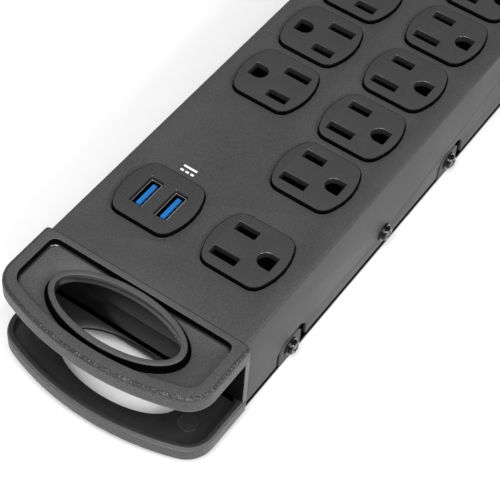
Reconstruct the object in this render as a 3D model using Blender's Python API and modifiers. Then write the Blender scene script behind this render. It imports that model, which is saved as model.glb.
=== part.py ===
"""Metal power strip with moulded end handles, two USB ports and twelve outlets.

Units are metres, +Z is up and +X runs along the strip, from the plain end to the end
where the cord enters. The strip stands on its base plate, at Z = 0, and is centred on
X = 0 and Y = 0.
"""

import math

import bmesh
import bpy
from mathutils import Matrix

MM = 0.001
GAP = 0.3 * MM  # clearance between two pieces that touch
REACH = 15.0 * MM  # how far a cutter passes beyond what it cuts

# Driving dimensions of the housing
BODY_LENGTH = 264.0 * MM
BODY_WIDTH = 76.8 * MM
COVER_TOP = 38.6 * MM
COVER_LOWER = 4.0 * MM
SHEET = 1.0 * MM
COVER_FOLD_RADIUS = 1.2 * MM

# Outlets: receptacle face, its slots and the spacing along the strip
PITCH = 28.7 * MM
COLUMN_Y = 17.85 * MM
FIRST_OUTLET_X = -102.0 * MM
SECOND_OUTLET_X = FIRST_OUTLET_X + 39.6 * MM
RIGHT_OUTLETS = 7
LEFT_OUTLETS = 5
FACE_RISE = 1.4 * MM
FACE_HALF_LENGTH = 13.85 * MM
FACE_HALF_FLAT = 12.45 * MM
FACE_ARC_RADIUS = 22.5 * MM
FACE_TOP = COVER_TOP + FACE_RISE
BLADE_LINE = 4.8 * MM  # from the face's centre to the line through both blade slots
BLADE_SPACING = 12.7 * MM
BLADE_SLOT_WIDTH = 3.7 * MM
HOT_SLOT_LENGTH = 8.1 * MM
NEUTRAL_SLOT_LENGTH = 9.9 * MM
GROUND_OFFSET = 11.9 * MM
GROUND_RADIUS = 3.15 * MM
OUTLET_BOTTOM = 22.0 * MM
OUTLET_BLOCK = (27.6 * MM, 29.6 * MM)

# USB charger
USB_OPENING = (12.64 * MM, 5.3 * MM)
USB_PITCH = 9.9 * MM
USB_DEPTH = 13.0 * MM
USB_METAL = 0.35 * MM
USB_SHELL_SINK = 0.2 * MM
USB_SEAT = 2.0 * MM
USB_BOARD = (25.0 * MM, 26.0 * MM, 1.6 * MM)
USB_TONGUE_LENGTH = 10.0 * MM
USB_TONGUE_THICKNESS = 1.7 * MM
USB_TONGUE_SIDE = 0.8 * MM

# End handles: the lower half is the upper one turned over, with a wider grip hole and no collar
CAP_FRONT = 33.8 * MM
CAP_WIDTH = 80.4 * MM
CAP_BOW_RADIUS = 98.7 * MM
CAP_CORNER_RADIUS = 10.3 * MM
CAP_HALF_HEIGHT = (COVER_TOP - COVER_LOWER) / 2
CAP_MID_Z = (COVER_TOP + COVER_LOWER) / 2
CAP_PLATE = 7.0 * MM
CAP_WALL = 2.0 * MM
CAP_EDGE_BEVEL = 1.3 * MM
END_WALL = 2.2 * MM
RIM_WIDTH = 4.75 * MM
RECESS_DEPTH = 2.2 * MM
RECESS_FLOOR = 2.0 * MM
END_WALL_INSET = 0.2 * MM
SMALLEST_CORNER = 2.0 * MM
GRIP_CENTRE = 15.0 * MM
GRIP_HALF = (10.15 * MM, 23.3 * MM)
LOWER_GRIP_CENTRE = 13.9 * MM
LOWER_GRIP_HALF = (11.25 * MM, 23.3 * MM)
GRIP_SIDES = 32
COLLAR_WIDTH = 2.2 * MM
COLLAR_DROP = 0.2 * MM
BOSS_PLACE = (17.0 * MM, 29.5 * MM)
BOSS_RADIUS = 3.6 * MM
BOSS_RISE = 0.5 * MM

# Base plate, its outer tabs and its inner ears
BASE_WIDTH = BODY_WIDTH - 0.8 * MM
TAB_X = 103.5 * MM
TAB_WIDTH = 12.5 * MM
TAB_TOP = 10.6 * MM
TAB_CORNER = 2.2 * MM
NOTCH_GAP = 2.4 * MM
EAR_X = 46.2 * MM
EAR_WIDTH = 12.0 * MM
EAR_TOP = 15.0 * MM
TAB_SCREW_Z = 6.0 * MM
EAR_SCREW_Z = 10.0 * MM
SCREW_HOLE_RADIUS = 2.1 * MM
SCREW_SHANK_RADIUS = 1.7 * MM
SCREW_HEAD_RADIUS = 3.5 * MM
SCREW_HEAD_HEIGHT = 2.4 * MM
SCREW_LENGTH = 4.2 * MM
SCREW_SIDES = 12

# Insulating liner between the base plate and the live parts
LINER_WALL = 0.8 * MM
LINER_HALF_WIDTH = 33.2 * MM
LINER_TOP = 17.0 * MM
LINER_FLOOR = 1.6 * MM
POST_RADIUS = 2.5 * MM

# Contacts and bus bars
BUS_Z = 18.2 * MM
BUS_THICKNESS = 0.9 * MM
BUS_WIDTH = 2.8 * MM
CONTACT_RISE = 10.0 * MM
CONTACT_OFFSET = 1.9 * MM  # of the line and neutral bars, either side of the blade line
BUS_END = 6.0 * MM
LEAF = 0.5 * MM
BLADE_LEAF_SPREAD = 1.2 * MM
PIN_LEAF_SPREAD = 2.4 * MM

# Surge board
BOARD = (64.0 * MM, 46.0 * MM, 1.6 * MM)
BOARD_X = -55.0 * MM
BOARD_Z = 8.0 * MM
POST_INSET = 5.0 * MM
VARISTOR_RADIUS = 7.0 * MM
VARISTOR_HEIGHT = 4.6 * MM
VARISTOR_PITCH = 18.0 * MM
VARISTORS = 3

# Rocker switch
CONTROL_X = 111.0 * MM
SWITCH_OPENING = (20.4 * MM, 11.4 * MM)
SWITCH_FLANGE = (25.0 * MM, 16.0 * MM, 1.0 * MM)
SWITCH_BODY = (23.0 * MM, 14.0 * MM)
SWITCH_BOTTOM = 21.0 * MM
ROCKER_HALF_LENGTH = 9.0 * MM
ROCKER_WIDTH = 10.6 * MM
ROCKER_PIVOT_Z = 33.2 * MM
ROCKER_TILT = math.radians(8.0)
ROCKER_END_TOP = 5.4 * MM
ROCKER_MIDDLE_TOP = 3.4 * MM
ROCKER_END_LOW = -1.0 * MM
ROCKER_BELLY = (6.0 * MM, -4.5 * MM)
ROCKER_LOWEST = -6.0 * MM
SWITCH_POCKET = 8.0 * MM  # depth below the pivot

# Circuit breaker with a push-to-reset button
BREAKER_FLANGE_RADIUS = 7.0 * MM
BREAKER_BODY_RADIUS = 5.8 * MM
BREAKER_BORE_RADIUS = 3.6 * MM
BREAKER_BOTTOM = 21.0 * MM
BREAKER_FLANGE = 0.9 * MM
BREAKER_BORE_SPARE = 3.0 * MM  # room under the button
BUTTON_RADIUS = 3.2 * MM
BUTTON_BOTTOM = 29.5 * MM

# Cord inlet, in the end wall of the far handle
GLAND_RADIUS = 6.7 * MM
GLAND_BORE = 4.2 * MM
GLAND_FLANGE_RADIUS = 9.0 * MM
GLAND_FLANGE = 2.0 * MM
GLAND_LENGTH = 8.0 * MM
LOCK_RING = 3.0 * MM


def clear_scene():
    for obj in list(bpy.data.objects):
        bpy.data.objects.remove(obj, do_unlink=True)


def new_collection(name):
    collection = bpy.data.collections.new(name)
    bpy.context.scene.collection.children.link(collection)
    return collection


def make_material(name, color, roughness, metallic=0.0):
    material = bpy.data.materials.new(name)
    material.use_nodes = True
    shader = material.node_tree.nodes["Principled BSDF"]
    shader.inputs["Base Color"].default_value = (*color, 1.0)
    shader.inputs["Roughness"].default_value = roughness
    shader.inputs["Metallic"].default_value = metallic
    return material


def move_to(obj, collection):
    for owner in list(obj.users_collection):
        owner.objects.unlink(obj)
    collection.objects.link(obj)


def clean_mesh(mesh):
    """Weld the caps and sides of a converted outline into one closed skin."""
    working = bmesh.new()
    working.from_mesh(mesh)
    bmesh.ops.remove_doubles(working, verts=working.verts, dist=0.00001)
    bmesh.ops.recalc_face_normals(working, faces=working.faces)
    working.to_mesh(mesh)
    working.free()


def prism(name, outlines, low, high):
    """Extrude flat outlines, holes included, along Z between two heights."""
    curve = bpy.data.curves.new(name, "CURVE")
    curve.dimensions = "2D"
    curve.fill_mode = "BOTH"
    curve.extrude = (high - low) / 2
    for outline in outlines:
        spline = curve.splines.new("POLY")
        spline.points.add(len(outline) - 1)
        spline.use_cyclic_u = True
        for point, (x, y) in zip(spline.points, outline):
            point.co = (x, y, 0.0, 1.0)
    guide = bpy.data.objects.new(name + "_outline", curve)
    bpy.context.scene.collection.objects.link(guide)
    graph = bpy.context.evaluated_depsgraph_get()
    mesh = bpy.data.meshes.new_from_object(guide.evaluated_get(graph))
    bpy.data.objects.remove(guide, do_unlink=True)
    mesh.transform(Matrix.Translation((0.0, 0.0, (low + high) / 2)))
    clean_mesh(mesh)
    obj = bpy.data.objects.new(name, mesh)
    bpy.context.scene.collection.objects.link(obj)
    return obj


def side_prism(name, outline, low, high):
    """Extrude an outline of (x, z) points along Y between two places."""
    obj = prism(name, [outline], -high, -low)
    obj.data.transform(Matrix.Rotation(math.radians(90.0), 4, "X"))
    return obj


def box(name, size, centre):
    bpy.ops.mesh.primitive_cube_add(size=1.0)
    obj = bpy.context.object
    obj.name = name
    obj.data.transform(Matrix.Diagonal((*size, 1.0)))
    obj.data.transform(Matrix.Translation(centre))
    return obj


def cylinder(name, radius, low, high, place=(0.0, 0.0), sides=20):
    bpy.ops.mesh.primitive_cylinder_add(vertices=sides, radius=radius, depth=high - low)
    obj = bpy.context.object
    obj.name = name
    obj.data.transform(Matrix.Translation((*place, (low + high) / 2)))
    return obj


def boolean(obj, tool, operation):
    """Cut or join with another solid, apply the result and drop the tool."""
    modifier = obj.modifiers.new(operation.lower(), "BOOLEAN")
    modifier.operation = operation
    modifier.object = tool
    graph = bpy.context.evaluated_depsgraph_get()
    result = bpy.data.meshes.new_from_object(obj.evaluated_get(graph))
    obj.modifiers.clear()
    obj.data = result
    bpy.data.objects.remove(tool, do_unlink=True)


def cut(obj, tool):
    boolean(obj, tool, "DIFFERENCE")


def join(obj, tool):
    boolean(obj, tool, "UNION")


def arc(centre, radius, start, end, steps):
    points = []
    for index in range(steps + 1):
        angle = start + (end - start) * index / steps
        points.append((centre[0] + radius * math.cos(angle), centre[1] + radius * math.sin(angle)))
    return points


def ellipse(centre, half_x, half_y, steps):
    points = []
    for index in range(steps):
        angle = 2 * math.pi * index / steps
        points.append((centre[0] + half_x * math.cos(angle), centre[1] + half_y * math.sin(angle)))
    return points


def rectangle(centre, size):
    x, y = centre
    half_x, half_y = size[0] / 2, size[1] / 2
    return [(x - half_x, y - half_y), (x + half_x, y - half_y), (x + half_x, y + half_y), (x - half_x, y + half_y)]


def place(obj, collection, material, name, location=(0.0, 0.0, 0.0), rotation=(0.0, 0.0, 0.0)):
    obj.name = name
    obj.location = location
    obj.rotation_euler = rotation
    obj.data.materials.clear()
    obj.data.materials.append(material)
    obj.data.shade_smooth()
    obj.data.set_sharp_from_angle(angle=math.radians(30.0))
    move_to(obj, collection)
    return obj


def place_copy(source, collection, name, location, rotation=(0.0, 0.0, 0.0)):
    duplicate = bpy.data.objects.new(name, source.data)
    duplicate.location = location
    duplicate.rotation_euler = rotation
    collection.objects.link(duplicate)
    return duplicate


# Receptacle faces


def face_outline(grow=0.0):
    """Two flat ends across X and two shallow arcs across Y, the shape of a receptacle face."""
    half_flat = FACE_HALF_FLAT + grow
    radius = FACE_ARC_RADIUS + grow
    centre = FACE_HALF_LENGTH + grow - radius
    reach = math.asin(half_flat / radius)
    upper = arc((0.0, centre), radius, math.pi / 2 - reach, math.pi / 2 + reach, 6)
    lower = arc((0.0, -centre), radius, -math.pi / 2 - reach, -math.pi / 2 + reach, 6)
    return upper + lower


def ground_outline():
    """A round pin hole with a flat on the side away from the blades."""
    centre_y = BLADE_LINE - GROUND_OFFSET
    points = arc((0.0, centre_y), GROUND_RADIUS, 0.0, math.pi, 8)
    return points + [(-GROUND_RADIUS, centre_y - GROUND_RADIUS), (GROUND_RADIUS, centre_y - GROUND_RADIUS)]


def outlet_slots():
    hot = rectangle((BLADE_SPACING / 2, BLADE_LINE), (BLADE_SLOT_WIDTH, HOT_SLOT_LENGTH))
    neutral = rectangle((-BLADE_SPACING / 2, BLADE_LINE), (BLADE_SLOT_WIDTH, NEUTRAL_SLOT_LENGTH))
    return [hot, neutral, ground_outline()]


def receptacle(name, holes, low):
    """A face standing on the block that holds it under the cover, with its holes right through."""
    shoulder = COVER_TOP - SHEET - GAP
    block = prism(name, [rectangle((0.0, 0.0), OUTLET_BLOCK)] + holes, low, shoulder)
    face = prism("face", [face_outline()] + holes, shoulder - MM, FACE_TOP)
    join(block, face)
    return block


def outlet_places():
    """Centres of the outlets, with the turn that puts the blades toward the middle."""
    places = [(FIRST_OUTLET_X, -COLUMN_Y, 0.0)]
    for index in range(RIGHT_OUTLETS - 1):
        places.append((SECOND_OUTLET_X + index * PITCH, -COLUMN_Y, 0.0))
    for index in range(LEFT_OUTLETS):
        places.append((SECOND_OUTLET_X + (index + 1) * PITCH, COLUMN_Y, math.pi))
    return places


def build_outlets(parts, material):
    places = outlet_places()
    source = receptacle("outlet", outlet_slots(), OUTLET_BOTTOM)
    for index, (x, y, turn) in enumerate(places[1:], start=2):
        place_copy(source, parts, f"outlet_{index:02d}", (x, y, 0.0), (0.0, 0.0, turn))
    place(source, parts, material, "outlet_01", (*places[0][:2], 0.0))


# USB charger


def usb_openings():
    return [rectangle((0.0, side * USB_PITCH / 2), USB_OPENING) for side in (1, -1)]


def build_usb(parts, plastic, metal, blue, board_material):
    centre = (FIRST_OUTLET_X, COLUMN_Y)
    low = FACE_TOP - USB_DEPTH
    seat = low - USB_SEAT
    face = receptacle("usb_face", usb_openings(), seat)
    place(face, parts, plastic, "usb_face", (*centre, 0.0))
    outer = (USB_OPENING[0] - 2 * GAP, USB_OPENING[1] - 2 * GAP)
    inner = (outer[0] - 2 * USB_METAL, outer[1] - 2 * USB_METAL)
    tongue = (inner[0] - 2 * USB_TONGUE_SIDE, USB_TONGUE_THICKNESS, USB_TONGUE_LENGTH)
    for index, side in enumerate((1, -1), start=1):
        spot = (centre[0], centre[1] + side * USB_PITCH / 2, 0.0)
        rings = [rectangle((0.0, 0.0), outer), rectangle((0.0, 0.0), inner)]
        shell = prism("shell", rings, seat, FACE_TOP - USB_SHELL_SINK)
        place(shell, parts, metal, f"usb_shell_{index}", spot)
        core = box("tongue", tongue, (0.0, 0.0, seat + USB_TONGUE_LENGTH / 2))
        place(core, parts, blue, f"usb_tongue_{index}", spot)
    board = box("usb_board", USB_BOARD, (*centre, seat - GAP - USB_BOARD[2] / 2))
    place(board, parts, board_material, "usb_board")


# Metal housing


def cover_screws():
    """Places along X and heights of the screws in one side of the housing."""
    tabs = [(x, TAB_SCREW_Z) for x in (-TAB_X, 0.0, TAB_X)]
    ears = [(x, EAR_SCREW_Z) for x in (-EAR_X, EAR_X)]
    return tabs + ears


def tab_outline(x, width, low, top, corner):
    half = width / 2
    return [
        (x - half, low),
        (x + half, low),
        (x + half, top - corner),
        (x + half - corner, top),
        (x - half + corner, top),
        (x - half, top - corner),
    ]


def build_cover(parts, material):
    """A folded channel, open below and at both ends, pierced for everything it carries."""
    half = BODY_WIDTH / 2
    turn = COVER_FOLD_RADIUS
    outer = arc((half - turn, COVER_TOP - turn), turn, 0.0, math.pi / 2, 4)
    outer += arc((turn - half, COVER_TOP - turn), turn, math.pi / 2, math.pi, 4)
    inner = [(SHEET - half, COVER_TOP - SHEET), (half - SHEET, COVER_TOP - SHEET)]
    channel = outer + [(-half, COVER_LOWER), (SHEET - half, COVER_LOWER)]
    channel += inner + [(half - SHEET, COVER_LOWER), (half, COVER_LOWER)]
    length = BODY_LENGTH / 2 - GAP
    cover = side_prism("top_cover", channel, -length, length)
    cover.data.transform(Matrix.Rotation(math.radians(90.0), 4, "Z"))
    for x, y, turn_angle in outlet_places() + [(FIRST_OUTLET_X, COLUMN_Y, 0.0)]:
        opening = prism("opening", [face_outline(GAP)], COVER_TOP - REACH, COVER_TOP + REACH)
        opening.location = (x, y, 0.0)
        cut(cover, opening)
    window = (SWITCH_BODY[0] + 2 * GAP, SWITCH_BODY[1] + 2 * GAP, 2 * REACH)
    cut(cover, box("window", window, (CONTROL_X, -COLUMN_Y, COVER_TOP)))
    hole = BREAKER_BODY_RADIUS + GAP
    cut(cover, cylinder("hole", hole, COVER_TOP - REACH, COVER_TOP + REACH, (CONTROL_X, COLUMN_Y)))
    for x in (-TAB_X, 0.0, TAB_X):
        width = TAB_WIDTH + 2 * NOTCH_GAP
        notch = tab_outline(x, width, 0.0, TAB_TOP + NOTCH_GAP, TAB_CORNER + NOTCH_GAP / 2)
        cut(cover, side_prism("notch", notch, -half - MM, half + MM))
    for x in (-EAR_X, EAR_X):
        cut(cover, cross_hole(x, EAR_SCREW_Z))
    return place(cover, parts, material, "top_cover")


def cross_hole(x, z):
    """A round cutter right across the housing."""
    hole = cylinder("hole", SCREW_HOLE_RADIUS, -BODY_WIDTH, BODY_WIDTH, sides=SCREW_SIDES)
    hole.data.transform(Matrix.Rotation(math.radians(90.0), 4, "X"))
    hole.data.transform(Matrix.Translation((x, 0.0, z)))
    return hole


def build_base(parts, material):
    """A flat plate with tabs turned up outside the cover and ears turned up inside it."""
    size = (BODY_LENGTH - 2 * GAP, BASE_WIDTH, SHEET)
    base = box("base_plate", size, (0.0, 0.0, SHEET / 2))
    tab_y = BASE_WIDTH / 2 - SHEET
    ear_y = BODY_WIDTH / 2 - 2 * SHEET - GAP
    for side in (-1, 1):
        for x in (-TAB_X, 0.0, TAB_X):
            outline = tab_outline(x, TAB_WIDTH, SHEET / 2, TAB_TOP, TAB_CORNER)
            ends = sorted((side * tab_y, side * (tab_y + SHEET)))
            join(base, side_prism("tab", outline, *ends))
        for x in (-EAR_X, EAR_X):
            outline = tab_outline(x, EAR_WIDTH, SHEET / 2, EAR_TOP, TAB_CORNER)
            ends = sorted((side * ear_y, side * (ear_y + SHEET)))
            join(base, side_prism("ear", outline, *ends))
    for x, z in cover_screws():
        cut(base, cross_hole(x, z))
    return place(base, parts, material, "base_plate")


def screw_mesh():
    """A pan head with a washer flange, its shank along -Y, as one turned profile."""
    flange = 0.5 * MM
    shoulder = SCREW_HEAD_RADIUS * 0.78
    profile = [
        (0.0, SCREW_HEAD_HEIGHT),
        (shoulder * 0.6, SCREW_HEAD_HEIGHT * 0.94),
        (shoulder, SCREW_HEAD_HEIGHT * 0.55),
        (shoulder, flange),
        (SCREW_HEAD_RADIUS, flange),
        (SCREW_HEAD_RADIUS, 0.0),
        (SCREW_SHANK_RADIUS, 0.0),
        (SCREW_SHANK_RADIUS, -SCREW_LENGTH),
        (0.0, -SCREW_LENGTH),
    ]
    mesh = bpy.data.meshes.new("screw")
    working = bmesh.new()
    points = [working.verts.new((radius, 0.0, height)) for radius, height in profile]
    for first, second in zip(points, points[1:]):
        working.edges.new((first, second))
    working.to_mesh(mesh)
    working.free()
    turned = bpy.data.objects.new("screw", mesh)
    bpy.context.scene.collection.objects.link(turned)
    screw = turned.modifiers.new("turn", "SCREW")
    screw.steps = SCREW_SIDES
    screw.render_steps = SCREW_SIDES
    screw.use_merge_vertices = True
    screw.merge_threshold = 0.00001
    graph = bpy.context.evaluated_depsgraph_get()
    result = bpy.data.meshes.new_from_object(turned.evaluated_get(graph))
    turned.modifiers.clear()
    turned.data = result
    clean_mesh(result)
    return turned


def build_screws(parts, material):
    source = screw_mesh()
    number = 0
    for side in (-1, 1):
        for x, z in cover_screws():
            number += 1
            face = BODY_WIDTH / 2 if z == EAR_SCREW_Z else BASE_WIDTH / 2
            spot = (x, side * (face + GAP / 3), z)
            turn = (math.radians(-90.0 * side), 0.0, 0.0)
            place_copy(source, parts, f"side_screw_{number:02d}", spot, turn)
    source.data.materials.append(material)
    source.data.shade_smooth()
    source.data.set_sharp_from_angle(angle=math.radians(30.0))
    bpy.data.objects.remove(source, do_unlink=True)


# Moulded end handles


def cap_outline(inset, start):
    """The bowed outline of a handle, from X = -start outward, drawn a given distance inside."""
    half = CAP_WIDTH / 2 - inset
    bow = CAP_BOW_RADIUS - inset
    corner = max(CAP_CORNER_RADIUS - inset, SMALLEST_CORNER)
    bow_centre = CAP_BOW_RADIUS - CAP_FRONT
    corner_y = half - corner
    corner_x = bow_centre - math.sqrt((bow - corner) ** 2 - corner_y**2)
    turn = math.atan2(corner_y, bow_centre - corner_x)
    points = [(-start, half)]
    points += arc((corner_x, corner_y), corner, math.pi / 2, math.pi - turn, 4)
    points += arc((bow_centre, 0.0), bow, math.pi - turn, math.pi + turn, 10)[1:-1]
    points += arc((corner_x, -corner_y), corner, math.pi + turn, 1.5 * math.pi, 4)
    points.append((-start, -half))
    return points


def bevel_top_edge(obj, height):
    """Ease the edge between a prism's top and its sides."""
    working = bmesh.new()
    working.from_mesh(obj.data)
    edges = []
    for edge in working.edges:
        level = all(abs(vertex.co.z - height) < 0.00001 for vertex in edge.verts)
        at_joint = all(vertex.co.x > -MM for vertex in edge.verts)
        if level and not at_joint and len(edge.link_faces) == 2 and edge.calc_face_angle() > 0.5:
            edges.append(edge)
    bmesh.ops.bevel(working, geom=edges, offset=CAP_EDGE_BEVEL, segments=2, profile=0.5, affect="EDGES")
    working.to_mesh(obj.data)
    working.free()


def cap_mesh(name, lower, inlet):
    """Half a handle at the -X end, as it lies when it is the upper one, about the cap's middle."""
    top = CAP_HALF_HEIGHT
    cap = prism(name, [cap_outline(0.0, 0.0)], top - CAP_PLATE, top)
    bevel_top_edge(cap, top)
    wall_height = top - CAP_PLATE / 2 - GAP / 2
    wall_centre = (-END_WALL / 2, 0.0, GAP / 2 + wall_height / 2)
    join(cap, box("end_wall", (END_WALL, CAP_WIDTH - 2 * END_WALL_INSET, wall_height), wall_centre))
    floor = top - RECESS_DEPTH
    cut(cap, prism("recess", [cap_outline(RIM_WIDTH, END_WALL)], floor, top + MM))
    grip = (-LOWER_GRIP_CENTRE if lower else -GRIP_CENTRE, 0.0)
    half = LOWER_GRIP_HALF if lower else GRIP_HALF
    if not lower:
        outer = (half[0] + COLLAR_WIDTH, half[1] + COLLAR_WIDTH)
        join(cap, prism("collar", [ellipse(grip, *outer, GRIP_SIDES)], floor - MM, top - COLLAR_DROP))
    underside = floor - RECESS_FLOOR
    cut(cap, prism("underside", [cap_outline(CAP_WALL, END_WALL)], top - CAP_PLATE - MM, underside))
    for side in (-1, 1):
        spot = (-BOSS_PLACE[0], side * BOSS_PLACE[1])
        join(cap, cylinder("boss", BOSS_RADIUS, underside - BOSS_RISE, underside + MM / 2, spot, 16))
    cut(cap, prism("grip", [ellipse(grip, *half, GRIP_SIDES)], 0.0, top + MM))
    if inlet:
        hole = cylinder("inlet", GLAND_RADIUS + GAP, -REACH, REACH)
        hole.data.transform(Matrix.Rotation(math.radians(90.0), 4, "Y"))
        cut(cap, hole)
    return cap


def build_caps(parts, material):
    for end, side, turn in (("near", -1, 0.0), ("far", 1, math.pi)):
        for half, flip in (("top", 0.0), ("bottom", math.pi)):
            name = f"{end}_cap_{half}"
            cap = cap_mesh(name, half == "bottom", end == "far")
            place(cap, parts, material, name, (side * BODY_LENGTH / 2, 0.0, CAP_MID_Z), (flip, 0.0, turn))


# Inside the housing


def build_liner(parts, material):
    half = LINER_HALF_WIDTH
    low = SHEET + GAP
    length = BODY_LENGTH / 2 - 2 * MM
    floor = low + LINER_WALL
    channel = [
        (-half, low),
        (half, low),
        (half, LINER_TOP),
        (half - LINER_WALL, LINER_TOP),
        (half - LINER_WALL, floor),
        (LINER_WALL - half, floor),
        (LINER_WALL - half, LINER_TOP),
        (-half, LINER_TOP),
    ]
    liner = side_prism("liner", channel, -length, length)
    liner.data.transform(Matrix.Rotation(math.radians(90.0), 4, "Z"))
    for side_x in (-1, 1):
        for side_y in (-1, 1):
            spot = (BOARD_X + side_x * (BOARD[0] / 2 - POST_INSET), side_y * (BOARD[1] / 2 - POST_INSET))
            join(liner, cylinder("post", POST_RADIUS, floor - LINER_WALL / 2, BOARD_Z - GAP, spot, 12))
    return place(liner, parts, material, "liner")


def build_surge_board(parts, board_material, disc_material):
    board = box("surge_board", BOARD, (BOARD_X, 0.0, BOARD_Z + BOARD[2] / 2))
    place(board, parts, board_material, "surge_board")
    low = BOARD_Z + BOARD[2] + GAP
    for index in range(VARISTORS):
        spot = (BOARD_X + (index - (VARISTORS - 1) / 2) * VARISTOR_PITCH, 0.0)
        disc = cylinder("varistor", VARISTOR_RADIUS, low, low + VARISTOR_HEIGHT, spot, 20)
        place(disc, parts, disc_material, f"varistor_{index + 1}")


def comb_outline(contacts, spread):
    """A strip with a pair of upright contact leaves at each place along it."""
    low = BUS_Z
    top = low + BUS_THICKNESS
    tip = top + CONTACT_RISE
    start = contacts[0] - BUS_END
    end = contacts[-1] + BUS_END
    points = [(start, low), (end, low), (end, top)]
    for x in reversed(contacts):
        for side in (1, -1):
            outer = x + side * spread + LEAF / 2
            points += [(outer, top), (outer, tip), (outer - LEAF, tip), (outer - LEAF, top)]
    points.append((start, top))
    return points


def build_bus_bars(parts, copper):
    places = outlet_places()
    for name, sign in (("right", -1), ("left", 1)):
        column = [x for x, y, turn in places if y * sign > 0]
        blade_y = sign * (COLUMN_Y - BLADE_LINE)
        ground_y = sign * (COLUMN_Y - BLADE_LINE + GROUND_OFFSET)
        hot = [x - sign * BLADE_SPACING / 2 for x in column]
        neutral = [x + sign * BLADE_SPACING / 2 for x in column]
        bars = (
            ("line", hot, BLADE_LEAF_SPREAD, blade_y + CONTACT_OFFSET),
            ("neutral", neutral, BLADE_LEAF_SPREAD, blade_y - CONTACT_OFFSET),
            ("ground", column, PIN_LEAF_SPREAD, ground_y),
        )
        for kind, contacts, spread, y in bars:
            outline = comb_outline(sorted(contacts), spread)
            bar = side_prism("bar", outline, y - BUS_WIDTH / 2, y + BUS_WIDTH / 2)
            place(bar, parts, copper, f"{kind}_bus_{name}")


# Controls


def build_switch(parts, black, red):
    size = (*SWITCH_BODY, COVER_TOP + GAP - SWITCH_BOTTOM)
    frame = box("switch_frame", size, (0.0, 0.0, SWITCH_BOTTOM + size[2] / 2))
    flange_z = COVER_TOP + GAP + SWITCH_FLANGE[2] / 2
    join(frame, box("flange", SWITCH_FLANGE, (0.0, 0.0, flange_z)))
    pocket = ROCKER_PIVOT_Z - SWITCH_POCKET
    cut(frame, box("pocket", (*SWITCH_OPENING, 2 * REACH), (0.0, 0.0, pocket + REACH)))
    place(frame, parts, black, "switch_frame", (CONTROL_X, -COLUMN_Y, 0.0))
    reach = ROCKER_HALF_LENGTH
    belly_x, belly_z = ROCKER_BELLY
    profile = [
        (-reach, ROCKER_END_TOP),
        (-reach, ROCKER_END_LOW),
        (-belly_x, belly_z),
        (0.0, ROCKER_LOWEST),
        (belly_x, belly_z),
        (reach, ROCKER_END_LOW),
        (reach, ROCKER_END_TOP),
        (0.0, ROCKER_MIDDLE_TOP),
    ]
    rocker = side_prism("switch_rocker", profile, -ROCKER_WIDTH / 2, ROCKER_WIDTH / 2)
    pivot = (CONTROL_X, -COLUMN_Y, ROCKER_PIVOT_Z)
    place(rocker, parts, red, "switch_rocker", pivot, (0.0, ROCKER_TILT, 0.0))


def build_breaker(parts, black, grey):
    spot = (CONTROL_X, COLUMN_Y)
    body = cylinder("breaker_body", BREAKER_BODY_RADIUS, BREAKER_BOTTOM, COVER_TOP + GAP + MM / 2, spot)
    flange_low = COVER_TOP + GAP
    join(body, cylinder("flange", BREAKER_FLANGE_RADIUS, flange_low, flange_low + BREAKER_FLANGE, spot))
    bore_low = BUTTON_BOTTOM - BREAKER_BORE_SPARE
    cut(body, cylinder("bore", BREAKER_BORE_RADIUS, bore_low, FACE_TOP + MM, spot))
    place(body, parts, black, "breaker_body")
    button = cylinder("breaker_button", BUTTON_RADIUS, BUTTON_BOTTOM, FACE_TOP)
    place(button, parts, grey, "breaker_button", (*spot, 0.0))


def build_inlet(parts, rubber, nylon):
    """A gland held in the split end wall, with a ring behind it."""
    wall_outer = BODY_LENGTH / 2 + END_WALL
    wall_inner = BODY_LENGTH / 2
    start = wall_inner - GLAND_FLANGE - GAP - LOCK_RING - GAP
    gland = cylinder("cord_gland", GLAND_RADIUS, start, wall_outer + GLAND_LENGTH)
    join(gland, cylinder("inner_flange", GLAND_FLANGE_RADIUS, wall_inner - GAP - GLAND_FLANGE, wall_inner - GAP))
    outer_low = wall_outer + GAP
    join(gland, cylinder("outer_flange", GLAND_FLANGE_RADIUS, outer_low, outer_low + GLAND_FLANGE))
    cut(gland, cylinder("bore", GLAND_BORE, start - MM, wall_outer + GLAND_LENGTH + MM))
    ring_high = wall_inner - 2 * GAP - GLAND_FLANGE
    ring = cylinder("gland_ring", GLAND_FLANGE_RADIUS, ring_high - LOCK_RING, ring_high)
    cut(ring, cylinder("bore", GLAND_RADIUS + GAP, ring_high - 2 * LOCK_RING, ring_high + MM))
    turn = (0.0, math.radians(90.0), 0.0)
    place(gland, parts, rubber, "cord_gland", (0.0, 0.0, CAP_MID_Z), turn)
    place(ring, parts, nylon, "gland_ring", (0.0, 0.0, CAP_MID_Z), turn)


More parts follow.
